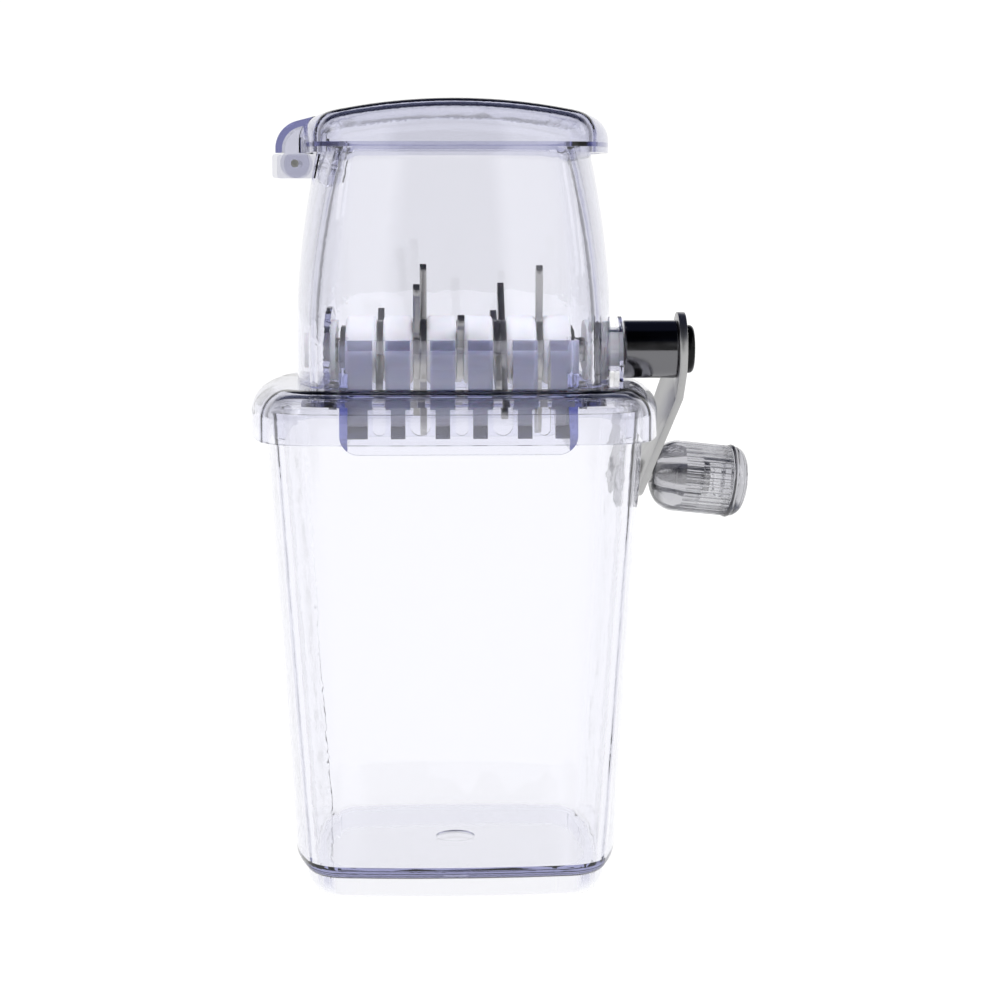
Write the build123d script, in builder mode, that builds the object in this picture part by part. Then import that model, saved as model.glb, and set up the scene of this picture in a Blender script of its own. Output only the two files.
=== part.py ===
"""Hand-crank ice crusher: clear bin, clear hopper with a comb, hinged lid, pronged rotor, bent crank.

Frame: origin at the middle of the base, on the table. +Z up, +X towards the crank, -Y the front.
Everything is in millimetres.
"""

import math
import os

from build123d import *

# ---- driving dimensions -------------------------------------------------------------------------
WALL = 2.6  # clear mouldings
BOW, SIDE_BOW = 2.6, 8.0  # how far the middles of the front and of the sides stand out from their corners
GAP = 0.05  # radial clearance of a shaft, pin or screw in its hole

# bin: half width and half depth of its outline at the foot and at the rim
FOOT = (48.4, 39.9)
FOOT_CORNER, FOOT_HEIGHT, FOOT_WALL = 11.0, 6.5, 3.2
FOOT_PAD_PROUD, FOOT_GROOVES_X, FOOT_GROOVE, FOOT_SIDE_GAP = 0.7, (-43.0, -31.2, 31.2, 43.0), 1.4, 30.0
BIN_LOW, BIN_HIGH = (52.4, 42.8), (61.6, 47.0)
BIN_LOW_CORNER, BIN_HIGH_CORNER = 13.0, 15.5
BIN_LOW_Z, BIN_FLOOR_Z, BIN_RIM_Z, BIN_LOW_ROUND = 6.0, 10.0, 153.6, 3.6
GATE_MARK_RADIUS, GATE_MARK_DEEP = 6.5, 0.5

# collar: the skirt that covers the bin's rim
COLLAR = (65.4, 50.8)
COLLAR_CORNER, COLLAR_SHOULDER = 18.0, 9.0
COLLAR_LOW_Z, COLLAR_TOP_Z = 144.7, 160.9
RIM_RIB_THICK, RIM_RIB_LONG, RIM_RIB_SPREAD = 1.6, 4.6, 38.0  # two ribs on each side, this far apart

# hopper outline at each height: height, half width, half depth, corner radius
HOPPER_SECTIONS = [
    (155.5, 50.3, 38.8, 13.0),
    (180.0, 50.5, 38.6, 12.8),
    (204.0, 48.7, 37.2, 11.2),
    (221.0, 46.2, 35.4, 9.2),
    (235.2, 43.4, 33.6, 7.4),
]
DECK_LOW_Z, DECK_TOP_Z = 155.5, 158.1

# lid: a barrel vault with a skirt, and a tail that reaches over the hinge
LID = (49.4, 39.6)
LID_CORNER, LID_SHOULDER, LID_WALL = 11.0, 8.0, 2.3
LID_LOW_Z, LID_TOP_Z, LID_ARCH_RADIUS = 233.5, 250.0, 190.0
LEDGE_OUTER, LEDGE_INNER, LEDGE_CORNERS = (48.0, 38.4), (41.8, 32.0), (8.0, 6.0)
LEDGE_THICK, RIM_REST_GAP = 1.4, 0.05
HINGE_X, HINGE_Z, HINGE_PIN_RADIUS = -50.0, 230.2, 1.2
TAIL_HALF_Y, TAIL_WALL, TAIL_CHEEK, LUG_RADIUS = 12.0, 2.0, 2.6, 4.6
TAIL_START_X, TAIL_TURN_X, TAIL_BACK_X = -43.0, -49.5, -56.2
TAIL_ROUND_MID, TAIL_ROUND_LOW_Z = (-54.3, 240.3), 235.5
CHEEK_THICK, CHEEK_GAP, CHEEK_ROUND = 3.0, 0.4, 1.0
CHEEK_ROOT_X, CHEEK_BACK_X, CHEEK_LOW_Z, CHEEK_TOP_Z = -42.1, -57.0, 225.6, 233.1
NOTCH_TOP_Z, NOTCH_LONG = 238.2, 9.5

# rotor
SHAFT_Z, SHAFT_RADIUS, SHAFT_FLAT = 170.7, 4.0, 3.2  # flat: half the distance across the two flats
SHAFT_LEFT_X, SHAFT_RIGHT_X = -45.4, 76.2
SHAFT_FLATS_X = [(-38.0, 40.2), (54.6, 80.0)]
ROTOR_MID_X, ROTOR_HALF = 1.8, 36.8
BLADE_PITCH, BLADE_THICK = 12.85, 2.2
BLADE_TIP_RADIUS, BLADE_WIDTH, BLADE_RING_RADIUS, BLADE_ROOT_ROUND = 27.6, 5.4, 9.6, 2.0
DRUM_RADIUS, DRUM_ROUND = 11.2, 1.8
# for each groove from left to right, how far the plates that stand in it lean from upright
GROOVE_LEANS = [(-67.0,), (40.0, 0.0), (67.0,), (-69.0, -43.0), (9.0,)]
WASHER_LEFT = (-37.5, 7.9)  # outer face and radius
CLIP_RIGHT = (40.1, 7.8)

# comb
COMB_MID_X, COMB_HALF_X, COMB_HALF_Y, COMB_WALL = 0.9, 37.2, 31.0, 2.4
COMB_LOW_Z, COMB_TOP_Z, COMB_BACK_Z, COMB_CORNER = 139.8, 175.6, 168.0, 6.0
SLOT_LOW_Z, SLOT_TOP_Z, SLOT_CLEAR = 146.0, 171.6, 0.9
DRUM_CLEAR, COMB_GAP = 1.4, 0.4
# a tooth from the side: how far each corner stands in from the front wall's inner face, and its height
TOOTH_CORNERS = [(-1.0, 175.6), (2.4, 175.6), (15.9, 171.6), (15.9, 165.7), (6.0, 150.0), (-1.0, 144.0)]
STEM_TOP_Z, STEM_INSET, TOOTH_REACH = 154.5, 1.6, 16.0  # below the deck each tooth goes on as a narrower stem
TAB_LONG, TAB_WIDE, TAB_THICK, SCREW_Y = 4.9, 8.0, 2.2, 19.2
SCREW_RADIUS, SCREW_HEAD_RADIUS, SCREW_HEAD, SCREW_HEAD_ROUND, SCREW_LONG = 1.3, 2.1, 1.7, 1.0, 6.0

# bearings
LEFT_PLATE_X, LEFT_PLATE_RADIUS = -43.8, 14.1
WALL_INNER_X, BOSS_RADIUS, BOSS_END_X = 47.7, 7.2, 54.4
OUTER_PLATE_X, OUTER_PLATE_RADIUS, OUTER_PLATE_THICK, OUTER_PLATE_LOW_Z = 52.9, 10.7, 1.2, 159.5
BUSH_RADIUS, BUSH_FLANGE_RADIUS, BUSH_FLANGE, BUSH_SEAT = 5.6, 9.8, 1.8, 0.3

# crank
HUB_RADIUS, HUB_LEFT_X, ARM_LEFT_X, ARM_THICK, TURNED_EDGE = 9.4, 54.8, 72.2, 2.6, 0.6
ARM_HUB_RADIUS, ARM_TIP_RADIUS, ARM_BEND_RADIUS = 12.0, 8.2, 5.0
ARM_BEND_AT, ARM_BEND, ARM_LENGTH = 12.0, math.radians(9.3), 65.2
CRANK_ANGLE = math.radians(45.0)  # at rest the arm points this far from straight down, to the back
NUT_RADIUS, NUT_HEIGHT, NUT_ROUND, NUT_BORE = 7.8, 2.9, 1.5, 1.6

# knob, measured along its pin from the middle of the arm's thickness
KNOB_RADIUS, KNOB_START, KNOB_FLUTES_FROM, KNOB_CAP_FROM, KNOB_END = 12.2, 4.2, 14.0, 30.6, 36.6
KNOB_FLUTES, KNOB_FLUTE_RADIUS, KNOB_NECK_RADIUS, KNOB_END_ROUND = 36, 0.62, 4.2, 4.0
KNOB_POCKET_RADIUS, KNOB_POCKET_FROM, KNOB_PLUG_FROM, KNOB_BEAD = 6.4, 20.9, 27.0, 0.45
KNOB_PIN_RADIUS, KNOB_PIN_HEAD_RADIUS, KNOB_PIN_HEAD = 3.0, 5.6, (21.4, 23.6)
RIVET_RADIUS, RIVET_HEIGHT = 4.4, 1.3
KNOB_CAP_CROWN, KNOB_CAP_ROUND_MID = 1.0, (1.2, 1.4)  # the bead's crown, and the round edge's middle

os.makedirs("parts", exist_ok=True)


def finish(part, name):
    """Labels a finished piece and writes its STEP file."""
    part.label = name
    export_step(part, f"parts/{name}.step")


def bowed(z, half_x, half_y, corner):
    """A level sketch at height z: a rectangle with four gently bowed sides and rounded corners."""
    corner_x, corner_y = half_x - SIDE_BOW, half_y - BOW
    with BuildSketch(Plane.XY.offset(z)) as outline:
        with BuildLine():
            ThreePointArc((-corner_x, -corner_y), (0, -half_y), (corner_x, -corner_y))
            ThreePointArc((corner_x, -corner_y), (half_x, 0), (corner_x, corner_y))
            ThreePointArc((corner_x, corner_y), (0, half_y), (-corner_x, corner_y))
            ThreePointArc((-corner_x, corner_y), (-half_x, 0), (-corner_x, -corner_y))
        make_face()
        fillet(outline.vertices(), corner)
    return outline.sketch


def across(x):
    """The plane square to the shaft at x: its local x runs along +Y and its local y along +Z."""
    return Plane(origin=(x, 0, SHAFT_Z), x_dir=(0, 1, 0), z_dir=(1, 0, 0))


def disc(left_x, right_x, radius, bore):
    """A round piece on the shaft's line, from left_x to right_x."""
    with BuildPart() as made:
        with BuildSketch(across(left_x)):
            Circle(radius)
            Circle(bore, mode=Mode.SUBTRACT)
        extrude(amount=right_x - left_x)
    return made.part


# ---- ice bin ------------------------------------------------------------------------------------
def bin_half(z, wall=0.0):
    """Half width and half depth of the bin at height z, outside, or inside for a wall."""
    share = (z - BIN_LOW_Z) / (BIN_RIM_Z - BIN_LOW_Z)
    return [low + (high - low) * share - wall for low, high in zip(BIN_LOW, BIN_HIGH)]


with BuildPart() as ice_bin:
    loft([
        bowed(BIN_LOW_Z, *bin_half(BIN_LOW_Z), BIN_LOW_CORNER),
        bowed(BIN_RIM_Z, *bin_half(BIN_RIM_Z), BIN_HIGH_CORNER),
    ], ruled=True)
    fillet(ice_bin.faces().sort_by(Axis.Z)[0].edges(), BIN_LOW_ROUND)
    loft([
        bowed(BIN_FLOOR_Z, *bin_half(BIN_FLOOR_Z, WALL), BIN_LOW_CORNER - WALL),
        bowed(BIN_RIM_Z, *bin_half(BIN_RIM_Z, WALL), BIN_HIGH_CORNER - WALL),
    ], ruled=True, mode=Mode.SUBTRACT)
    with BuildSketch(Plane.XY.offset(BIN_FLOOR_Z)):
        Circle(GATE_MARK_RADIUS)
    extrude(amount=-GATE_MARK_DEEP, mode=Mode.SUBTRACT)
    # foot ring, stepped out in pads with grooves between them
    with BuildSketch(Plane.XY):
        add(bowed(0, *(half + FOOT_PAD_PROUD for half in FOOT), FOOT_CORNER))
        with Locations(*[(x, 0) for x in FOOT_GROOVES_X]):
            Rectangle(FOOT_GROOVE, 3 * FOOT[1], mode=Mode.SUBTRACT)
        Rectangle(3 * FOOT[0], FOOT_SIDE_GAP, mode=Mode.SUBTRACT)
        add(bowed(0, *FOOT, FOOT_CORNER))
        add(bowed(0, *(half - FOOT_WALL for half in FOOT), FOOT_CORNER - FOOT_WALL), mode=Mode.SUBTRACT)
    extrude(amount=FOOT_HEIGHT)
finish(ice_bin.part, "ice_bin")

# ---- hopper with its collar ---------------------------------------------------------------------
def collar_form(inset):
    """The collar as a solid with a rounded shoulder, made smaller all round by inset."""
    with BuildPart() as made:
        extrude(bowed(COLLAR_LOW_Z, *(half - inset for half in COLLAR), COLLAR_CORNER - inset),
                amount=COLLAR_TOP_Z - inset - COLLAR_LOW_Z)
        fillet(made.faces().sort_by(Axis.Z)[-1].edges(), COLLAR_SHOULDER - inset)
    return made.part


with BuildPart() as cheek:
    with BuildSketch(Plane.XZ) as cheek_side:
        with BuildLine():
            Polyline((CHEEK_ROOT_X, CHEEK_TOP_Z), (CHEEK_BACK_X, CHEEK_TOP_Z),
                     (CHEEK_BACK_X, CHEEK_LOW_Z), (CHEEK_ROOT_X, CHEEK_LOW_Z), close=True)
        make_face()
        fillet(cheek_side.vertices().group_by(Axis.X)[0], CHEEK_ROUND)
        with Locations((HINGE_X, HINGE_Z)):
            Circle(HINGE_PIN_RADIUS + GAP / 2, mode=Mode.SUBTRACT)
    extrude(amount=CHEEK_THICK)
cheek_y = TAIL_HALF_Y + CHEEK_GAP  # inner face of a cheek

rib_x = BIN_HIGH[0] - WALL
opening = (2 * (COMB_HALF_X + COMB_GAP), 2 * (COMB_HALF_Y + COMB_GAP))
screw_x = COMB_HALF_X + TAB_LONG / 2
screw_spots = [(COMB_MID_X + sx * screw_x, sy * SCREW_Y) for sx in (-1, 1) for sy in (-1, 1)]

# ribs under the collar's shoulder, which stand on the bin's rim
with BuildPart() as rim_ribs:
    with BuildSketch(Plane.XY.offset(BIN_RIM_Z)):
        with GridLocations(2 * rib_x, RIM_RIB_SPREAD, 2, 2):
            Rectangle(RIM_RIB_LONG, RIM_RIB_THICK)
    extrude(amount=COLLAR_TOP_Z - BIN_RIM_Z)
    add(collar_form(WALL / 2), mode=Mode.INTERSECT)

with BuildPart() as hopper:
    add(collar_form(0))
    add(collar_form(WALL), mode=Mode.SUBTRACT)
    add(rim_ribs.part)
    # the curved, tapering hopper
    loft([bowed(z, x, y, corner) for z, x, y, corner in HOPPER_SECTIONS])
    loft([bowed(z, x - WALL, y - WALL, corner - WALL) for z, x, y, corner in HOPPER_SECTIONS],
         mode=Mode.SUBTRACT)
    # the deck that carries the comb round the opening that the ice falls through
    low_z, low_x, low_y, low_corner = HOPPER_SECTIONS[0]
    extrude(bowed(DECK_LOW_Z, low_x - WALL / 2, low_y - WALL / 2, low_corner - WALL / 2),
            amount=DECK_TOP_Z - DECK_LOW_Z)
    with BuildSketch(Plane.XY.offset(DECK_LOW_Z)):
        with Locations((COMB_MID_X, 0)):
            Rectangle(*opening)
        with Locations(*screw_spots):
            Circle(SCREW_RADIUS + GAP)
    extrude(amount=DECK_TOP_Z - DECK_LOW_Z, mode=Mode.SUBTRACT)
    # an arched bearing plate that stands on the deck at the left, and one outside the right wall
    for plate_x, radius, low_z, thick in (
        (LEFT_PLATE_X, LEFT_PLATE_RADIUS, DECK_LOW_Z, WALL),
        (OUTER_PLATE_X, OUTER_PLATE_RADIUS, OUTER_PLATE_LOW_Z, OUTER_PLATE_THICK),
    ):
        with BuildSketch(across(plate_x)):
            Circle(radius)
            with Locations((0, (low_z - SHAFT_Z) / 2)):
                Rectangle(2 * radius, SHAFT_Z - low_z)
        extrude(amount=thick)
    # the boss through the right wall, and the holes for the two bushes
    with BuildSketch(across(WALL_INNER_X)):
        Circle(BOSS_RADIUS)
    extrude(amount=BOSS_END_X - WALL_INNER_X)
    for start_x, end_x in ((LEFT_PLATE_X, LEFT_PLATE_X + WALL), (WALL_INNER_X - WALL, BOSS_END_X)):
        with BuildSketch(across(start_x)):
            Circle(BUSH_RADIUS + GAP)
        extrude(amount=end_x - start_x, mode=Mode.SUBTRACT)
    # hinge cheeks
    with Locations((0, -cheek_y, 0), (0, cheek_y + CHEEK_THICK, 0)):
        add(cheek.part)
finish(hopper.part, "hopper")

# ---- comb ---------------------------------------------------------------------------------------
groove_xs = [ROTOR_MID_X + BLADE_PITCH * (i - 2) for i in range(len(GROOVE_LEANS))]
groove_widths = [BLADE_THICK * len(leans) for leans in GROOVE_LEANS]
slot_edges = [(x - width / 2 - SLOT_CLEAR, x + width / 2 + SLOT_CLEAR)
              for x, width in zip(groove_xs, groove_widths)]
comb_ends = [COMB_MID_X + side * (COMB_HALF_X - COMB_WALL) for side in (-1, 1)]
tooth_spans = list(zip([comb_ends[0]] + [right for _, right in slot_edges],
                       [left for left, _ in slot_edges] + [comb_ends[1]]))
comb_inner_y = COMB_HALF_Y - COMB_WALL
slot_middle_z = (SLOT_LOW_Z + SLOT_TOP_Z) / 2

with BuildPart() as comb_grate:
    with BuildSketch(Plane.XY.offset(COMB_LOW_Z)):
        with Locations((COMB_MID_X, 0)):
            Rectangle(2 * COMB_HALF_X, 2 * COMB_HALF_Y)
    extrude(amount=COMB_TOP_Z - COMB_LOW_Z)
    fillet(comb_grate.edges().filter_by(Axis.Y).group_by(Axis.Z)[0], COMB_CORNER)
    with BuildSketch(Plane.XY.offset(COMB_LOW_Z)):
        with Locations((COMB_MID_X, 0)):
            Rectangle(2 * (COMB_HALF_X - COMB_WALL), 2 * comb_inner_y)
    extrude(amount=COMB_TOP_Z - COMB_LOW_Z, mode=Mode.SUBTRACT)
    # the drum drops into a round notch in the end walls, and the back is lower than the front
    notch = DRUM_RADIUS + DRUM_CLEAR
    with BuildSketch(across(COMB_MID_X - COMB_HALF_X - 1)):
        Circle(notch)
        with Locations(((COMB_HALF_Y - notch + 1) / 2, COMB_BACK_Z - SHAFT_Z + notch)):
            Rectangle(COMB_HALF_Y + notch + 1, 2 * notch)
    extrude(amount=2 * COMB_HALF_X + 2, mode=Mode.SUBTRACT)
    # teeth between the plates, and the slots in the front wall that the plates show through
    for left, right in tooth_spans:
        with BuildSketch(Plane(origin=(left, -comb_inner_y, 0), x_dir=(0, 1, 0), z_dir=(1, 0, 0))):
            with BuildLine():
                Polyline(*TOOTH_CORNERS, close=True)
            make_face()
        extrude(amount=right - left)
    for left, right in slot_edges:
        with BuildSketch(Plane.XY.offset(COMB_LOW_Z)):
            with Locations(((left + right) / 2, TOOTH_REACH / 2 - comb_inner_y)):
                Rectangle(right - left + 2 * STEM_INSET, TOOTH_REACH)
        extrude(amount=STEM_TOP_Z - COMB_LOW_Z, mode=Mode.SUBTRACT)
        with BuildSketch(Plane.XZ.offset(comb_inner_y - 1)):
            with Locations(((left + right) / 2, slot_middle_z)):
                RectangleRounded(right - left, SLOT_TOP_Z - SLOT_LOW_Z, (right - left) / 2 - GAP)
        extrude(amount=2 * COMB_WALL, mode=Mode.SUBTRACT)
    # tabs that are screwed down to the deck
    with BuildSketch(Plane.XY.offset(DECK_TOP_Z)):
        with Locations(*screw_spots):
            Rectangle(TAB_LONG + 1, TAB_WIDE)
            Circle(SCREW_RADIUS + GAP, mode=Mode.SUBTRACT)
        with Locations((COMB_MID_X, 0)):
            Rectangle(2 * COMB_HALF_X - COMB_WALL, 2 * COMB_HALF_Y, mode=Mode.SUBTRACT)
    extrude(amount=TAB_THICK)
finish(comb_grate.part, "comb_grate")

with BuildPart() as comb_screws:
    with BuildSketch(Plane.XY.offset(DECK_TOP_Z + TAB_THICK)):
        with Locations(*screw_spots):
            Circle(SCREW_HEAD_RADIUS)
    extrude(amount=SCREW_HEAD)
    fillet(comb_screws.faces().filter_by(Axis.Z).group_by(Axis.Z)[-1].edges(), SCREW_HEAD_ROUND)
    with BuildSketch(Plane.XY.offset(DECK_TOP_Z + TAB_THICK)):
        with Locations(*screw_spots):
            Circle(SCREW_RADIUS)
    extrude(amount=-SCREW_LONG)
finish(comb_screws.part, "comb_screws")

# ---- bearing bushes -----------------------------------------------------------------------------
left_face, right_face = LEFT_PLATE_X + WALL, WALL_INNER_X - BUSH_SEAT
with BuildPart() as bearing_bush_left:
    add(disc(LEFT_PLATE_X - BUSH_FLANGE, left_face, BUSH_RADIUS, SHAFT_RADIUS + GAP))
    add(disc(left_face, left_face + BUSH_FLANGE, BUSH_FLANGE_RADIUS, SHAFT_RADIUS + GAP))
finish(bearing_bush_left.part, "bearing_bush_left")

with BuildPart() as bearing_bush_right:
    add(disc(right_face, BOSS_END_X, BUSH_RADIUS, SHAFT_RADIUS + GAP))
    add(disc(right_face - BUSH_FLANGE, right_face, BUSH_FLANGE_RADIUS, SHAFT_RADIUS + GAP))
finish(bearing_bush_right.part, "bearing_bush_right")

# ---- hinge pin ----------------------------------------------------------------------------------
pin_half = cheek_y + CHEEK_THICK
with BuildPart() as lid_hinge_pin:
    with BuildSketch(Plane(origin=(HINGE_X, -pin_half, HINGE_Z), z_dir=(0, 1, 0))):
        Circle(HINGE_PIN_RADIUS)
    extrude(amount=2 * pin_half)
finish(lid_hinge_pin.part, "lid_hinge_pin")


# ---- lid ----------------------------------------------------------------------------------------
def vault(inset):
    """The lid's outer form, or its hollow for an inset: a bowed outline under a barrel arch."""
    radius = LID_ARCH_RADIUS - inset
    with BuildPart() as made:
        extrude(bowed(LID_LOW_Z, *(half - inset for half in LID), LID_CORNER - inset),
                amount=LID_TOP_Z - LID_LOW_Z)
        with BuildSketch(Plane.XZ):
            with Locations((0, LID_TOP_Z - LID_ARCH_RADIUS)):
                Circle(radius)
        extrude(amount=LID[1] * 2, both=True, mode=Mode.INTERSECT)
        top = made.faces().sort_by(Axis.Z)[-1]
        fillet(top.edges(), LID_SHOULDER - inset)
    return made.part


def arch_z(x, inset=0.0):
    """Height of the lid's arch at x."""
    return LID_TOP_Z - LID_ARCH_RADIUS + math.sqrt((LID_ARCH_RADIUS - inset) ** 2 - x ** 2)


def tail(inset, lug):
    """The side view of the tail, from the arch to its back wall, made smaller by inset."""
    mid_x, back_x = (TAIL_START_X + TAIL_TURN_X) / 2, TAIL_BACK_X + inset
    start, mid, turn = [(x, arch_z(x, inset)) for x in (TAIL_START_X, mid_x, TAIL_TURN_X)]
    round_mid = (TAIL_ROUND_MID[0] + 0.75 * inset, TAIL_ROUND_MID[1] - 0.7 * inset)
    round_low = (back_x, TAIL_ROUND_LOW_Z)
    with BuildSketch(Plane.XZ) as made:
        with BuildLine():
            ThreePointArc(start, mid, turn)
            ThreePointArc(turn, round_mid, round_low)
            Polyline(round_low, (back_x, LID_LOW_Z), (TAIL_START_X, LID_LOW_Z), start)
        make_face()
        if lug:
            with Locations((HINGE_X, HINGE_Z)):
                Circle(LUG_RADIUS)
    return made.sketch


tail_inner_y = TAIL_HALF_Y - TAIL_CHEEK
with BuildPart() as tail_part:
    extrude(tail(0, True), amount=TAIL_HALF_Y, both=True)
    extrude(tail(TAIL_WALL, False), amount=tail_inner_y, both=True, mode=Mode.SUBTRACT)
    with BuildSketch(Plane.XZ):
        with Locations((HINGE_X, HINGE_Z)):
            Circle(LUG_RADIUS + 1)
    extrude(amount=tail_inner_y, both=True, mode=Mode.SUBTRACT)

with BuildPart() as lid:
    add(vault(0))
    add(tail_part.part)
    add(vault(LID_WALL), mode=Mode.SUBTRACT)
    # the ledge that rests on the hopper's rim
    ledge_z = HOPPER_SECTIONS[-1][0] + RIM_REST_GAP
    extrude(bowed(ledge_z, *LEDGE_OUTER, LEDGE_CORNERS[0]), amount=LEDGE_THICK)
    extrude(bowed(ledge_z, *LEDGE_INNER, LEDGE_CORNERS[1]), amount=LEDGE_THICK, mode=Mode.SUBTRACT)
    # the hinge pin's hole, and room for the hopper's cheeks as the lid swings
    with BuildSketch(Plane.XZ):
        with Locations((HINGE_X, HINGE_Z)):
            Circle(HINGE_PIN_RADIUS + GAP)
    extrude(amount=TAIL_HALF_Y + 1, both=True, mode=Mode.SUBTRACT)
    room, notch_x = CHEEK_THICK + 2 * CHEEK_GAP, (HINGE_X + CHEEK_ROOT_X) / 2
    with BuildSketch(Plane.XY.offset(LID_LOW_Z - 1)):
        with Locations(*[(notch_x, side * (TAIL_HALF_Y + room / 2)) for side in (-1, 1)]):
            Rectangle(NOTCH_LONG, room)
    extrude(amount=NOTCH_TOP_Z - LID_LOW_Z + 1, mode=Mode.SUBTRACT)
finish(lid.part, "lid")


# ---- rotor --------------------------------------------------------------------------------------
def keyed(x):
    """The hole that fits the shaft's two flats, at x on the shaft's line."""
    with BuildSketch(across(x)) as made:
        Circle(SHAFT_RADIUS + GAP)
        Rectangle(2 * (SHAFT_FLAT + GAP), 3 * SHAFT_RADIUS, mode=Mode.INTERSECT)
    return made.sketch


with BuildPart() as rotor_shaft:
    with BuildSketch(across(SHAFT_LEFT_X)):
        Circle(SHAFT_RADIUS)
    extrude(amount=SHAFT_RIGHT_X - SHAFT_LEFT_X)
    fillet(rotor_shaft.edges().filter_by(GeomType.CIRCLE), TURNED_EDGE)
    # the plates and the crank are driven by two flats, with a round length between for the bearing
    for start_x, end_x in SHAFT_FLATS_X:
        with BuildSketch(across(start_x)):
            Rectangle(4 * SHAFT_RADIUS, 4 * SHAFT_RADIUS)
            Rectangle(2 * SHAFT_FLAT, 4 * SHAFT_RADIUS, mode=Mode.SUBTRACT)
        extrude(amount=end_x - start_x, mode=Mode.SUBTRACT)
finish(rotor_shaft.part, "rotor_shaft")

groove_starts = [x - width / 2 for x, width in zip(groove_xs, groove_widths)]
groove_ends = [x + width / 2 for x, width in zip(groove_xs, groove_widths)]
spacer_spans = zip([ROTOR_MID_X - ROTOR_HALF] + groove_ends, groove_starts + [ROTOR_MID_X + ROTOR_HALF])
for number, (left_x, right_x) in enumerate(spacer_spans, start=1):
    with BuildPart() as spacer:
        with BuildSketch(across(left_x)):
            Circle(DRUM_RADIUS)
        extrude(amount=right_x - left_x)
        fillet(spacer.edges().filter_by(GeomType.CIRCLE), DRUM_ROUND)
        extrude(keyed(left_x), amount=right_x - left_x, mode=Mode.SUBTRACT)
    finish(spacer.part, f"rotor_spacer_{number}")

blade_places = [(start_x + BLADE_THICK * order, lean)
                for start_x, leans in zip(groove_starts, GROOVE_LEANS) for order, lean in enumerate(leans)]
for number, (left_x, lean) in enumerate(blade_places, start=1):
    with BuildPart() as blade:
        with BuildSketch(across(left_x)) as outline:
            SlotOverall(2 * BLADE_TIP_RADIUS, BLADE_WIDTH, rotation=90 + lean)
            Circle(BLADE_RING_RADIUS)
            inner = BLADE_RING_RADIUS + 1
            roots = outline.vertices().filter_by(lambda corner: corner.center().length < inner)
            fillet(roots, BLADE_ROOT_ROUND)
        extrude(amount=BLADE_THICK)
        extrude(keyed(left_x), amount=BLADE_THICK, mode=Mode.SUBTRACT)
    finish(blade.part, f"prong_plate_{number}")

with BuildPart() as end_washer_left:
    add(disc(WASHER_LEFT[0], ROTOR_MID_X - ROTOR_HALF, WASHER_LEFT[1], SHAFT_RADIUS + GAP))
finish(end_washer_left.part, "end_washer_left")

with BuildPart() as end_clip_right:
    add(disc(ROTOR_MID_X + ROTOR_HALF, CLIP_RIGHT[0], CLIP_RIGHT[1], SHAFT_RADIUS + GAP))
finish(end_clip_right.part, "end_clip_right")

# ---- crank --------------------------------------------------------------------------------------
arm_mid_x = ARM_LEFT_X + ARM_THICK / 2
outward = Vector(0, math.sin(CRANK_ANGLE), -math.cos(CRANK_ANGLE))  # along the arm, from the shaft
arm_origin = Vector(arm_mid_x, 0, SHAFT_Z)
arm_side = Plane(origin=arm_origin, x_dir=outward, z_dir=outward.cross(Vector(1, 0, 0)))
arm_face = Plane(origin=arm_origin, x_dir=outward, z_dir=(1, 0, 0))
bent = ARM_LENGTH - ARM_BEND_AT  # from the bend to the knob
knob_reach, knob_inset = ARM_BEND_AT + bent * math.cos(ARM_BEND), bent * math.sin(ARM_BEND)
knob_axis = Vector(math.cos(ARM_BEND), 0, 0) + outward * math.sin(ARM_BEND)
knob_root = arm_origin + outward * knob_reach - Vector(knob_inset, 0, 0)


def knob_plane(along):
    """The plane square to the knob's pin, this far from the middle of the arm's thickness."""
    return Plane(origin=knob_root + knob_axis * along, x_dir=arm_side.z_dir, z_dir=knob_axis)


with BuildPart() as hub_sleeve:
    with BuildSketch(across(HUB_LEFT_X)):
        Circle(HUB_RADIUS)
    extrude(amount=ARM_LEFT_X - HUB_LEFT_X)
    fillet(hub_sleeve.edges().filter_by(GeomType.CIRCLE), TURNED_EDGE)
    extrude(keyed(HUB_LEFT_X), amount=ARM_LEFT_X - HUB_LEFT_X, mode=Mode.SUBTRACT)
finish(hub_sleeve.part, "hub_sleeve")

with BuildPart() as crank_arm:
    beyond = ARM_BEND_AT + (bent + 2 * ARM_TIP_RADIUS) * math.cos(ARM_BEND)
    drop = (bent + 2 * ARM_TIP_RADIUS) * math.sin(ARM_BEND)
    with BuildSketch(arm_side):
        with BuildLine() as spine:
            FilletPolyline((-2 * ARM_HUB_RADIUS, 0), (ARM_BEND_AT, 0), (beyond, -drop),
                           radius=ARM_BEND_RADIUS)
        trace(spine.line, ARM_THICK)
    extrude(amount=2 * ARM_HUB_RADIUS, both=True)
    with BuildSketch(arm_face):
        Circle(ARM_HUB_RADIUS)
        with Locations((knob_reach, 0)):
            Circle(ARM_TIP_RADIUS)
        make_hull()
    extrude(amount=ARM_LENGTH, both=True, mode=Mode.INTERSECT)
    extrude(keyed(ARM_LEFT_X - 1), amount=ARM_THICK + 2, mode=Mode.SUBTRACT)
    with BuildSketch(knob_plane(-ARM_THICK)):
        Circle(KNOB_PIN_RADIUS + GAP)
    extrude(amount=2 * ARM_THICK, mode=Mode.SUBTRACT)
finish(crank_arm.part, "crank_arm")

arm_right_x = ARM_LEFT_X + ARM_THICK
with BuildPart() as cap_nut:
    with BuildSketch(across(arm_right_x)):
        Circle(NUT_RADIUS)
    extrude(amount=NUT_HEIGHT)
    fillet(cap_nut.faces().sort_by(Axis.X)[-1].edges(), NUT_ROUND)
    with BuildSketch(across(arm_right_x)):
        Circle(SHAFT_RADIUS + GAP)
    extrude(amount=NUT_BORE, mode=Mode.SUBTRACT)
finish(cap_nut.part, "cap_nut")

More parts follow.
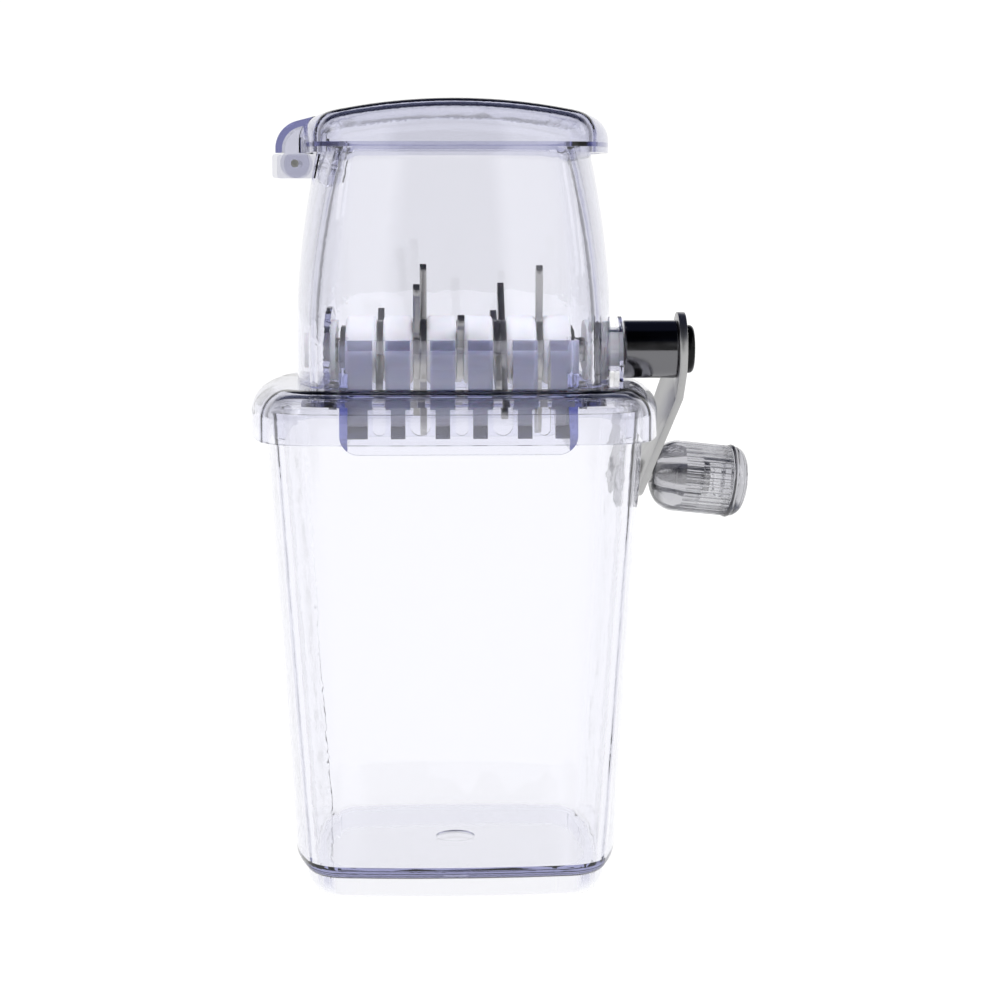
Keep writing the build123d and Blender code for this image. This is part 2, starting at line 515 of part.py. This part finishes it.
head_from, head_to = KNOB_PIN_HEAD
with BuildPart() as knob_pin:
    for start, end, radius in (
        (-ARM_THICK / 2 - RIVET_HEIGHT, -ARM_THICK / 2, RIVET_RADIUS),
        (-ARM_THICK / 2, head_from, KNOB_PIN_RADIUS),
        (head_from, head_to, KNOB_PIN_HEAD_RADIUS),
    ):
        with BuildSketch(knob_plane(start)):
            Circle(radius)
        extrude(amount=end - start)
    for end in (knob_pin.faces().sort_by(Axis.X)[0], knob_pin.faces().sort_by(Axis.X)[-1]):
        fillet(end.edges(), TURNED_EDGE)
finish(knob_pin.part, "knob_pin")


# ---- knob ---------------------------------------------------------------------------------------
def turned(*outline):
    """A piece turned about the knob's pin from (distance along the pin, radius) points and arcs."""
    with BuildPart() as made:
        with BuildSketch(knob_side):
            with BuildLine():
                for points in outline:
                    (ThreePointArc if len(points) == 3 else Line)(*points)
            make_face()
        revolve(axis=Axis(knob_root, knob_axis))
    return made.part


# local x runs along the pin and local y out from it
knob_side = Plane(origin=knob_root, x_dir=knob_axis, z_dir=arm_side.z_dir)
dome_long, dome_rise = KNOB_FLUTES_FROM - KNOB_START, KNOB_RADIUS - KNOB_NECK_RADIUS
half_turn = math.radians(45)
dome_mid = (KNOB_START + dome_long * (1 - math.cos(half_turn)),
            KNOB_NECK_RADIUS + dome_rise * math.sin(half_turn))
with BuildPart() as knob:
    add(turned(
        ((KNOB_START, 0), (KNOB_START, KNOB_NECK_RADIUS)),
        ((KNOB_START, KNOB_NECK_RADIUS), dome_mid, (KNOB_FLUTES_FROM, KNOB_RADIUS)),
        ((KNOB_FLUTES_FROM, KNOB_RADIUS), (KNOB_FLUTES_FROM, 0)),
        ((KNOB_FLUTES_FROM, 0), (KNOB_START, 0)),
    ))
    with BuildSketch(knob_plane(KNOB_FLUTES_FROM)):
        Circle(KNOB_RADIUS)
        with PolarLocations(KNOB_RADIUS, KNOB_FLUTES):
            Circle(KNOB_FLUTE_RADIUS, mode=Mode.SUBTRACT)
    extrude(amount=KNOB_CAP_FROM - KNOB_FLUTES_FROM)
    with BuildSketch(knob_plane(KNOB_START)):
        Circle(KNOB_PIN_RADIUS + GAP)
    extrude(amount=KNOB_CAP_FROM - KNOB_START, mode=Mode.SUBTRACT)
    with BuildSketch(knob_plane(KNOB_POCKET_FROM)):
        Circle(KNOB_POCKET_RADIUS)
    extrude(amount=KNOB_CAP_FROM - KNOB_POCKET_FROM, mode=Mode.SUBTRACT)
finish(knob.part, "knob")

cap_rim, cap_edge = KNOB_RADIUS + KNOB_BEAD, KNOB_END - KNOB_END_ROUND
end_radius = KNOB_RADIUS - KNOB_END_ROUND
round_mid = (KNOB_END - KNOB_CAP_ROUND_MID[0], KNOB_RADIUS - KNOB_CAP_ROUND_MID[1])
with BuildPart() as knob_cap:
    add(turned(
        ((KNOB_CAP_FROM, 0), (KNOB_CAP_FROM, KNOB_RADIUS)),
        ((KNOB_CAP_FROM, KNOB_RADIUS), (KNOB_CAP_FROM + KNOB_CAP_CROWN, cap_rim), (cap_edge, KNOB_RADIUS)),
        ((cap_edge, KNOB_RADIUS), round_mid, (KNOB_END, end_radius)),
        ((KNOB_END, end_radius), (KNOB_END, 0)),
        ((KNOB_END, 0), (KNOB_CAP_FROM, 0)),
    ))
    with BuildSketch(knob_plane(KNOB_PLUG_FROM)):
        Circle(KNOB_POCKET_RADIUS - GAP)
    extrude(amount=KNOB_CAP_FROM - KNOB_PLUG_FROM)
finish(knob_cap.part, "knob_cap")
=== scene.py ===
"""Clear hand-crank ice crusher: moulded clear pieces, turned and stamped metal, fluted knob, stage.

Lengths are in metres. Z is up, the crank is on the +X side and the front looks along -Y.
"""

import math

import bmesh
import bpy
from mathutils import Matrix, Vector


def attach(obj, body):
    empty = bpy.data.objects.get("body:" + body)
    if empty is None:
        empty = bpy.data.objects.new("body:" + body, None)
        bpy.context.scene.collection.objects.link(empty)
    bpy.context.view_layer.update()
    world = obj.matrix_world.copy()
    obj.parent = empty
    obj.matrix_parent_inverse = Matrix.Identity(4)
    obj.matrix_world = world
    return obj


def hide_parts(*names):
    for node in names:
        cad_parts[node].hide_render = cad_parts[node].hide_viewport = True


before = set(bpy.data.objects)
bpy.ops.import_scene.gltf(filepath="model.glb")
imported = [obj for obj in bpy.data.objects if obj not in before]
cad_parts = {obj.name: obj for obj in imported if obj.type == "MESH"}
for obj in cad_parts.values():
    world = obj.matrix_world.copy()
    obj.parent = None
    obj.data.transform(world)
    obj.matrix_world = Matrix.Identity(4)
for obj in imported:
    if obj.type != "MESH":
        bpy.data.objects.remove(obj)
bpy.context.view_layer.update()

bl_info = {
    "name": "Clear Ice Crusher",
    "version": (1, 0, 0),
    "blender": (4, 5, 0),
    "location": "3D View > Sidebar > Ice Crusher",
    "description": "Finishes a clear hand-crank ice crusher and sets it on a pale stage",
    "category": "Object",
}

MM = 0.001
SHARP = math.radians(24)  # an edge that turns more than this stays crisp
FLAT = math.radians(0.4)  # faces that turn less than this are one face
MERGE = 2e-6  # closer corners than this are one corner
MIX_MASK, MIX_LOW, MIX_HIGH, MIX_RESULT = 0, 6, 7, 2  # a colour Mix node's own sockets
WHITE = (1.0, 1.0, 1.0, 1.0)

# the parts of the tent: limits on the x, y or z of the direction in which each lies
SLOT_HALF, SLOT_FRONT, SLOT_DEPTH = 0.15, 0.1, 0.97  # the tall dark slot at the front
OVERHEAD = 0.40  # where the dark ceiling starts
SIDES = 0.80  # the tent is dimmer nearer the sides than this
SEEN_TENT = 1.05  # the tent's own brightness behind the crusher

# name, place, size in metres, watts
SOFTBOXES = (
    ("key softbox", (-0.9, -0.9, 0.9), (0.4, 0.8), 2.0),
    ("fill softbox", (1.1, -0.5, 0.7), (0.3, 0.8), 1.5),
)
LAMP_AIM = Vector((0, 0, 0.12))  # the height of the crusher's middle
BOUNCES = 24  # enough for light to get through every clear wall

SPACERS = sorted(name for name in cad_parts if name.startswith("rotor_spacer"))
PRONGS = sorted(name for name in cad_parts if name.startswith("prong_plate"))


# ---- shader arithmetic ---------------------------------------------------------------------------
class Signal:
    """A shader socket that arithmetic works on: each step adds its Math node."""

    def __init__(self, graph, socket):
        self.graph = graph
        self.socket = socket

    def math(self, operation, *values):
        return self.graph.node("ShaderNodeMath", {"operation": operation}, dict(enumerate(values)))

    def __add__(self, other):
        return self.math("ADD", self, other)

    def __sub__(self, other):
        return self.math("SUBTRACT", self, other)

    def __rsub__(self, other):
        return self.math("SUBTRACT", other, self)

    def __mul__(self, other):
        return self.math("MULTIPLY", self, other)

    def __rmul__(self, other):
        return self.math("MULTIPLY", other, self)

    def clamped(self):
        return self.math("MINIMUM", self.math("MAXIMUM", self, 0.0), 1.0)


class Graph:
    """A node tree under construction."""

    def __init__(self, tree):
        self.tree = tree

    def set(self, node, inputs):
        """Sets or links a node's inputs, given by name or by number."""
        for key, value in inputs.items():
            if isinstance(value, Signal):
                self.tree.links.new(value.socket, node.inputs[key])
            else:
                node.inputs[key].default_value = value

    def node(self, kind, settings=None, inputs=None, output=0):
        """Adds a node, its settings first and then its inputs, and returns one of its outputs."""
        made = self.tree.nodes.new(kind)
        for key, value in (settings or {}).items():
            setattr(made, key, value)
        self.set(made, inputs or {})
        return Signal(self, made.outputs[output])

    def blend(self, mask, low, high):
        """A colour that goes from low to high with the mask."""
        return self.node("ShaderNodeMix", {"data_type": "RGBA"},
                         {MIX_MASK: mask, MIX_LOW: low, MIX_HIGH: high}, output=MIX_RESULT)


class Finish(Graph):
    """A material under construction, with one Principled surface."""

    def __init__(self, name, **constants):
        self.material = bpy.data.materials.new(name)
        self.material.use_nodes = True
        super().__init__(self.material.node_tree)
        self.surface = self.tree.nodes["Principled BSDF"]
        self.output = self.tree.nodes["Material Output"]
        self.paint(**constants)

    def place(self, stretch=(1, 1, 1), turn=(0, 0, 0)):
        """The piece's own coordinates, stretched and turned."""
        coordinates = self.node("ShaderNodeTexCoord", output="Object")
        return self.node("ShaderNodeMapping", {"vector_type": "TEXTURE"},
                         {"Vector": coordinates, "Rotation": turn,
                          "Scale": tuple(1 / s for s in stretch)})

    def noise(self, vector, scale, detail=3.0, roughness=0.5):
        return self.node("ShaderNodeTexNoise", None,
                         {"Vector": vector, "Scale": scale, "Detail": detail, "Roughness": roughness})

    def bump(self, height, strength, distance):
        normal = self.node("ShaderNodeBump", None,
                           {"Height": height, "Strength": strength, "Distance": distance})
        self.set(self.surface, {"Normal": normal})

    def paint(self, **inputs):
        """Sets or links the surface's inputs, their names written with underscores."""
        self.set(self.surface, {key.replace("_", " "): value for key, value in inputs.items()})


def colour(values):
    """A colour property as the four numbers of a socket."""
    return (*values[:3], 1.0)


def darker(values, share):
    """A share of a colour's brightness."""
    return tuple(c * share for c in values[:3])


# ---- finishes ------------------------------------------------------------------------------------
def clear_finish(name, look, tint, density, haze):
    """Polished clear plastic: faint flow lines, hairline scratches, and a tint that grows with depth."""
    made = Finish(name, Transmission_Weight=1.0, IOR=look.refraction)
    made.paint(Base_Color=colour(look.surface))
    flow = made.noise(made.place(stretch=(1, 1, 0.35)), 26.0, 2.0)
    hairs = made.noise(made.place(stretch=(1, 1, 0.06), turn=(0.2, 0.1, 0.4)), 900.0, 2.0, 0.6)
    scratches = ((hairs - 0.62) * 9.0).clamped()
    made.paint(Roughness=scratches * 0.05 + flow * haze)
    made.bump(flow, 0.08, 0.00006)
    depth = made.node("ShaderNodeVolumeAbsorption", None, {"Color": colour(tint), "Density": density})
    made.set(made.output, {"Volume": depth})
    return made.material


def acetal_finish(name, tone):
    """Dull moulded acetal with a fine grain and faint flow marks."""
    made = Finish(name, IOR=1.48, Subsurface_Weight=0.15, Subsurface_Scale=0.002)
    grain = made.noise(made.place(), 1400.0, 3.0)
    cloud = made.noise(made.place(stretch=(3, 1, 1)), 90.0, 2.0)
    made.paint(Base_Color=made.blend(cloud, colour(darker(tone, 0.9)), colour(tone)),
               Roughness=grain * 0.16 + 0.3)
    made.bump(grain, 0.15, 0.00003)
    return made.material


def metal_finish(name, light, dark, rough, stretch, lines=500.0, depth=0.00002):
    """Bare metal with drawn or turned lines, cloudy stains and a little wear."""
    made = Finish(name, Metallic=1.0)
    grain = made.noise(made.place(stretch=stretch), lines, 4.0, 0.65)
    cloud = made.noise(made.place(), 70.0, 3.0, 0.6)
    mask = (grain * 0.6 + cloud * 0.5 - 0.05).clamped()
    made.paint(Base_Color=made.blend(mask, colour(dark), colour(light)),
               Roughness=(grain * 0.22 + cloud * 0.12 + (rough - 0.17)).clamped())
    made.bump(grain, 0.35, depth)
    return made.material


# ---- meshes --------------------------------------------------------------------------------------
def merged(node):
    """A node's surface as a new bmesh with its loose triangles joined."""
    shape = bmesh.new()
    shape.from_mesh(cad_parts[node].data)
    bmesh.ops.remove_doubles(shape, verts=shape.verts, dist=MERGE)
    return shape


def sharp_edges(shape):
    return [edge for edge in shape.edges if edge.is_manifold and edge.calc_face_angle() > SHARP]


def rounded(shape, width):
    """Takes the crispness off every sharp edge."""
    bmesh.ops.dissolve_limit(shape, angle_limit=FLAT, verts=shape.verts, edges=shape.edges)
    bmesh.ops.bevel(shape, geom=sharp_edges(shape), offset=width, offset_type="OFFSET", segments=2,
                    profile=0.5, affect="EDGES", clamp_overlap=True, material=-1)
    return shape


def shown(name, shape, finish, body, stands_for=()):
    """Makes the finished piece: smooth where it curves, crisp where it turns, riding on its body."""
    for face in shape.faces:
        face.smooth = True
    for edge in shape.edges:
        edge.smooth = not (edge.is_manifold and edge.calc_face_angle() > SHARP)
    mesh = bpy.data.meshes.new(name)
    shape.to_mesh(mesh)
    shape.free()
    mesh.materials.append(finish)
    piece = bpy.data.objects.new(name, mesh)
    bpy.context.scene.collection.objects.link(piece)
    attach(piece, body)
    if stands_for:
        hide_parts(*stands_for)
    return piece


def coat(node, finish):
    """Gives a CAD node that keeps its shape a detailed finish."""
    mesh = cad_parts[node].data
    mesh.materials.clear()
    mesh.materials.append(finish)


# ---- settings ------------------------------------------------------------------------------------
def tone(label, default, description):
    """A colour property."""
    return bpy.props.FloatVectorProperty(name=label, description=description, default=default,
                                         subtype="COLOR", size=3, min=0.0, max=1.0)


def length(label, default, description):
    """A length property, in metres."""
    return bpy.props.FloatProperty(name=label, description=description, default=default,
                                   min=0.0, unit="LENGTH", precision=4)


class ClearPlasticSettings(bpy.types.PropertyGroup):
    surface: tone("Surface", (0.975, 0.975, 0.985), "Tint that light takes at each clear surface")
    depth_tint: tone("Depth Tint", (0.50, 0.51, 0.72), "Colour that thick clear plastic goes towards")
    comb_tint: tone("Comb Tint", (0.50, 0.53, 0.80), "Colour that the comb's plastic goes towards")
    knob_tint: tone("Knob Tint", (0.42, 0.42, 0.47), "Colour that the knob's plastic goes towards")
    density: bpy.props.FloatProperty(name="Depth", description="How fast the tint grows with depth",
                                     default=42.0, min=0.0)
    refraction: bpy.props.FloatProperty(name="Refraction", description="Refractive index of the plastic",
                                        default=1.56, min=1.0, max=2.0)


class MetalSettings(bpy.types.PropertyGroup):
    prong: tone("Prongs", (0.72, 0.71, 0.68), "Stamped stainless steel of the prong plates")
    chrome_painted_dark: tone("Chrome", (0.17, 0.17, 0.18), "Chrome plate of the crank's hub")
    # painted reflection: the hub's chrome gets a dark colour (0.17), far below real chrome, to stand for
    # the dark room it reflects
    arm: tone("Arm", (0.50, 0.50, 0.50), "Plate of the crank's arm")
    # painted shade: the cap nut's colour is pushed near black (0.02), darker than its plate, to stand
    # for the dark room it reflects
    nut: tone("Nut", (0.02, 0.02, 0.021), "Dark plate of the cap nut")
    edge: length("Edge", 0.25 * MM, "Round on the edges of the stamped pieces")


class MouldedSettings(bpy.types.PropertyGroup):
    spacer: tone("Spacers", (0.97, 0.97, 0.98), "White acetal of the rotor's spacers")
    bush: tone("Bushes", (0.90, 0.90, 0.92), "Pale acetal of the bearing bushes")


class StageSettings(bpy.types.PropertyGroup):
    floor: tone("Floor", (0.05, 0.05, 0.051), "Pale floor, by reflected light")
    floor_glow: bpy.props.FloatProperty(
        name="Floor Glow", description="Light that comes up through the floor", default=0.95, min=0.0)
    tent_light: bpy.props.FloatProperty(
        name="Tent Light", description="How brightly the tent lights dull pieces", default=2.8, min=0.0)
    side_shade: bpy.props.FloatProperty(
        name="Side Shade", description="How much dimmer the tent is at its sides",
        default=0.6, min=0.0, max=1.0)
    ceiling: tone("Ceiling", (0.06, 0.07, 0.13), "Unlit upper part of the tent")
    floor_size: length("Floor Size", 9.0, "Width of the floor")
    lens: bpy.props.FloatProperty(name="Lens", description="Focal length on a 36 mm sensor",
                                  default=85.63, min=1.0)
    eye: bpy.props.FloatVectorProperty(name="Eye", description="Where the camera stands",
                                       default=(-0.014, -0.770, 0.222), unit="LENGTH")
    aim: bpy.props.FloatVectorProperty(name="Aim", description="The point at the middle of the view",
                                       default=(0.01493, 0.0, 0.12149), unit="LENGTH")


SETTINGS = {
    "crusher_clear": ClearPlasticSettings,
    "crusher_metal": MetalSettings,
    "crusher_moulded": MouldedSettings,
    "crusher_stage": StageSettings,
}


# ---- pieces --------------------------------------------------------------------------------------
class CrusherOperator:
    """What every operator here shares."""

    bl_options = {"REGISTER", "UNDO"}


def moulded_clear(context, name, tint, haze=0.02, density=1.0):
    """Clear plastic with one of the tints, its density a multiple of the common one."""
    look = context.scene.crusher_clear
    return clear_finish(name, look, getattr(look, tint), look.density * density, haze)


class CRUSHER_OT_bin(CrusherOperator, bpy.types.Operator):
    """The clear bin that catches the crushed ice"""

    bl_idname = "crusher.bin"
    bl_label = "Ice Bin"

    def execute(self, context):
        finish = moulded_clear(context, "clear bin", "depth_tint", density=0.7)
        shown("clear_bin", merged("ice_bin"), finish, "bin", ["ice_bin"])
        return {"FINISHED"}


class CRUSHER_OT_hopper(CrusherOperator, bpy.types.Operator):
    """The clear hopper with its collar, and the pin of its hinge"""

    bl_idname = "crusher.hopper"
    bl_label = "Hopper"

    def execute(self, context):
        finish = moulded_clear(context, "clear hopper", "depth_tint", density=1.4)
        shown("clear_hopper", merged("hopper"), finish, "upper", ["hopper"])
        coat("lid_hinge_pin", metal_finish("hinge pin steel", (0.8, 0.8, 0.78), (0.6, 0.6, 0.58),
                                           0.2, (1, 1, 1)))
        return {"FINISHED"}


class CRUSHER_OT_lid(CrusherOperator, bpy.types.Operator):
    """The arched clear lid"""

    bl_idname = "crusher.lid"
    bl_label = "Lid"

    def execute(self, context):
        # the lid's depth tint is three times the common one: partly the plastic's own tint, partly
        # painted shade that darkens the whole lid for the dark band the ceiling throws into it
        finish = moulded_clear(context, "clear lid", "depth_tint", density=3.0)
        shown("clear_lid", merged("lid"), finish, "lid", ["lid"])
        return {"FINISHED"}


class CRUSHER_OT_comb(CrusherOperator, bpy.types.Operator):
    """The comb with its four screws and the two bearing bushes"""

    bl_idname = "crusher.comb"
    bl_label = "Comb"

    def execute(self, context):
        finish = moulded_clear(context, "comb plastic", "comb_tint", density=1.3)
        shown("clear_comb", merged("comb_grate"), finish, "upper", ["comb_grate"])
        coat("comb_screws", metal_finish("screw steel", (0.66, 0.66, 0.66), (0.4, 0.4, 0.4),
                                         0.25, (1, 1, 4)))
        bush = acetal_finish("bush acetal", context.scene.crusher_moulded.bush)
        for node in ("bearing_bush_left", "bearing_bush_right"):
            coat(node, bush)
        return {"FINISHED"}


class CRUSHER_OT_rotor(CrusherOperator, bpy.types.Operator):
    """The shaft with its white spacers and steel prong plates"""

    bl_idname = "crusher.rotor"
    bl_label = "Rotor"

    def execute(self, context):
        white = acetal_finish("spacer acetal", context.scene.crusher_moulded.spacer)
        metal = context.scene.crusher_metal
        for node in SPACERS:
            coat(node, white)
        steel = metal_finish("prong steel", metal.prong, darker(metal.prong, 0.55), 0.34, (9, 1, 1))
        for node in PRONGS:
            shown(node.replace("plate", "blade"), rounded(merged(node), metal.edge),
                  steel, "rotor", [node])
        coat("rotor_shaft", metal_finish("shaft steel", (0.6, 0.6, 0.6), (0.36, 0.36, 0.36),
                                         0.22, (9, 1, 1)))
        coat("end_washer_left", metal_finish("washer steel", (0.5, 0.5, 0.5), (0.3, 0.3, 0.3),
                                             0.3, (1, 1, 1)))
        coat("end_clip_right", metal_finish("clip steel", (0.1, 0.1, 0.11), (0.04, 0.04, 0.045),
                                            0.35, (1, 1, 1)))
        return {"FINISHED"}


class CRUSHER_OT_crank(CrusherOperator, bpy.types.Operator):
    """The chromed hub, the bent arm, the cap nut and the knob's pin"""

    bl_idname = "crusher.crank"
    bl_label = "Crank"

    def execute(self, context):
        metal = context.scene.crusher_metal
        # the hub's dark colour is a painted reflection of the dark room in front, not the chrome's own
        # brightness
        coat("hub_sleeve", metal_finish("hub chrome", metal.chrome_painted_dark, darker(metal.chrome_painted_dark, 0.9),
                                        0.12, (0.15, 1, 1), lines=260.0, depth=0.000004))
        shown("bent_arm", rounded(merged("crank_arm"), metal.edge),
              metal_finish("arm plate", metal.arm, darker(metal.arm, 0.7), 0.33, (1, 8, 8)),
              "rotor", ["crank_arm"])
        coat("cap_nut", metal_finish("nut plate", metal.nut, darker(metal.nut, 0.6), 0.26, (1, 1, 1)))
        coat("knob_pin", metal_finish("pin steel", (0.6, 0.6, 0.6), (0.4, 0.4, 0.4), 0.25, (1, 1, 1)))
        return {"FINISHED"}


class CRUSHER_OT_knob(CrusherOperator, bpy.types.Operator):
    """The fluted clear knob and its end cap"""

    bl_idname = "crusher.knob"
    bl_label = "Knob"

    def execute(self, context):
        finish = moulded_clear(context, "knob plastic", "knob_tint", haze=0.05)
        shown("fluted_knob", merged("knob"), finish, "knob", ["knob"])
        shown("knob_end", merged("knob_cap"), finish, "knob", ["knob_cap"])
        return {"FINISHED"}


# ---- stage ---------------------------------------------------------------------------------------
def looking(place, aim):
    """The placing of a lamp or camera that stands at place and looks at aim."""
    return Matrix.Translation(place) @ (aim - place).to_track_quat("-Z", "Y").to_matrix().to_4x4()


class CRUSHER_OT_stage(CrusherOperator, bpy.types.Operator):
    """A pale floor, soft studio light and the camera"""

    bl_idname = "crusher.stage"
    bl_label = "Stage"

    def execute(self, context):
        settings = context.scene.crusher_stage
        self.lay_floor(context, settings)
        self.light(context, settings)
        self.set_camera(context, settings)
        return {"FINISHED"}

    def lay_floor(self, context, settings):
        made = Finish("pale floor", Roughness=0.7, Emission_Strength=settings.floor_glow)
        cloud = made.noise(made.place(), 3.0, 2.0)
        cloudy = darker(settings.floor, 0.99)
        made.paint(Base_Color=made.blend(cloud, colour(cloudy), colour(settings.floor)))
        shape = bmesh.new()
        bmesh.ops.create_grid(shape, x_segments=4, y_segments=4, size=settings.floor_size / 2)
        mesh = bpy.data.meshes.new("pale_floor")
        shape.to_mesh(mesh)
        shape.free()
        mesh.materials.append(made.material)
        floor = bpy.data.objects.new("pale_floor", mesh)
        context.scene.collection.objects.link(floor)

    def light(self, context, settings):
        world = bpy.data.worlds.new("studio")
        context.scene.world = world
        world.use_nodes = True
        room = Graph(world.node_tree)
        direction = room.node("ShaderNodeTexCoord", output="Generated")
        x, y, z = (room.node("ShaderNodeSeparateXYZ", None, {0: direction}, output=i) for i in range(3))
        # a white tent all round, dark overhead, with a tall dark slot at the front
        slot = ((SLOT_HALF - x.math("ABSOLUTE", x)) * 40.0).clamped()
        slot = slot * ((-SLOT_FRONT - y) * 8.0).clamped()
        overhead = ((z - OVERHEAD) * 6.0).clamped()
        side = ((SIDES - y.math("ABSOLUTE", y)) * 5.0).clamped()
        direct = room.node("ShaderNodeLightPath", output="Is Camera Ray")
        bounced = room.node("ShaderNodeLightPath", output="Diffuse Depth").clamped()
        # the dark parts show only in gloss and through clear pieces, so dull pieces are lit evenly
        shade = room.blend(overhead, WHITE, colour(settings.ceiling))
        shade = room.blend(bounced, room.blend(direct, shade, WHITE), WHITE)
        even = direct.math("MAXIMUM", direct * SEEN_TENT, bounced * settings.tent_light)
        uneven = (1.0 - slot * SLOT_DEPTH) * (1.0 - side * settings.side_shade)
        room.set(room.tree.nodes["Background"],
                 {"Color": shade, "Strength": even.math("MAXIMUM", even, uneven)})
        for name, place, size, power in SOFTBOXES:
            lamp = bpy.data.lights.new(name, "AREA")
            lamp.shape = "RECTANGLE"
            lamp.size, lamp.size_y = size
            lamp.energy = power
            holder = bpy.data.objects.new(name, lamp)
            holder.matrix_world = looking(Vector(place), LAMP_AIM)
            context.scene.collection.objects.link(holder)
        context.scene.view_settings.view_transform = "Standard"
        context.scene.cycles.max_bounces = BOUNCES
        context.scene.cycles.transmission_bounces = BOUNCES

    def set_camera(self, context, settings):
        data = bpy.data.cameras.new("camera")
        data.sensor_width, data.lens = 36.0, settings.lens
        data.clip_start, data.clip_end = 0.01, 50.0
        camera = bpy.data.objects.new("camera", data)
        camera.matrix_world = looking(Vector(settings.eye), Vector(settings.aim))
        context.scene.collection.objects.link(camera)
        context.scene.camera = camera


OPERATORS = [
    CRUSHER_OT_bin, CRUSHER_OT_hopper, CRUSHER_OT_lid, CRUSHER_OT_comb, CRUSHER_OT_rotor,
    CRUSHER_OT_crank, CRUSHER_OT_knob, CRUSHER_OT_stage,
]


class CRUSHER_PT_panel(bpy.types.Panel):
    """Lists the crusher's operators and settings"""

    bl_idname = "CRUSHER_PT_panel"
    bl_label = "Ice Crusher"
    bl_space_type = "VIEW_3D"
    bl_region_type = "UI"
    bl_category = "Ice Crusher"

    def draw(self, context):
        for operator in OPERATORS:
            self.layout.operator(operator.bl_idname)
        for name, group in SETTINGS.items():
            box = self.layout.box()
            for field in group.__annotations__:
                box.prop(getattr(context.scene, name), field)


def register():
    for group in (*SETTINGS.values(), *OPERATORS, CRUSHER_PT_panel):
        bpy.utils.register_class(group)
    for name, group in SETTINGS.items():
        setattr(bpy.types.Scene, name, bpy.props.PointerProperty(type=group))


def unregister():
    for name in SETTINGS:
        delattr(bpy.types.Scene, name)
    for group in (CRUSHER_PT_panel, *reversed(OPERATORS), *SETTINGS.values()):
        bpy.utils.unregister_class(group)


def main():
    register()
    bpy.ops.crusher.bin()
    bpy.ops.crusher.hopper()
    bpy.ops.crusher.lid()
    bpy.ops.crusher.comb()
    bpy.ops.crusher.rotor()
    bpy.ops.crusher.crank()
    bpy.ops.crusher.knob()
    bpy.ops.crusher.stage()


if __name__ == "__main__":
    main()
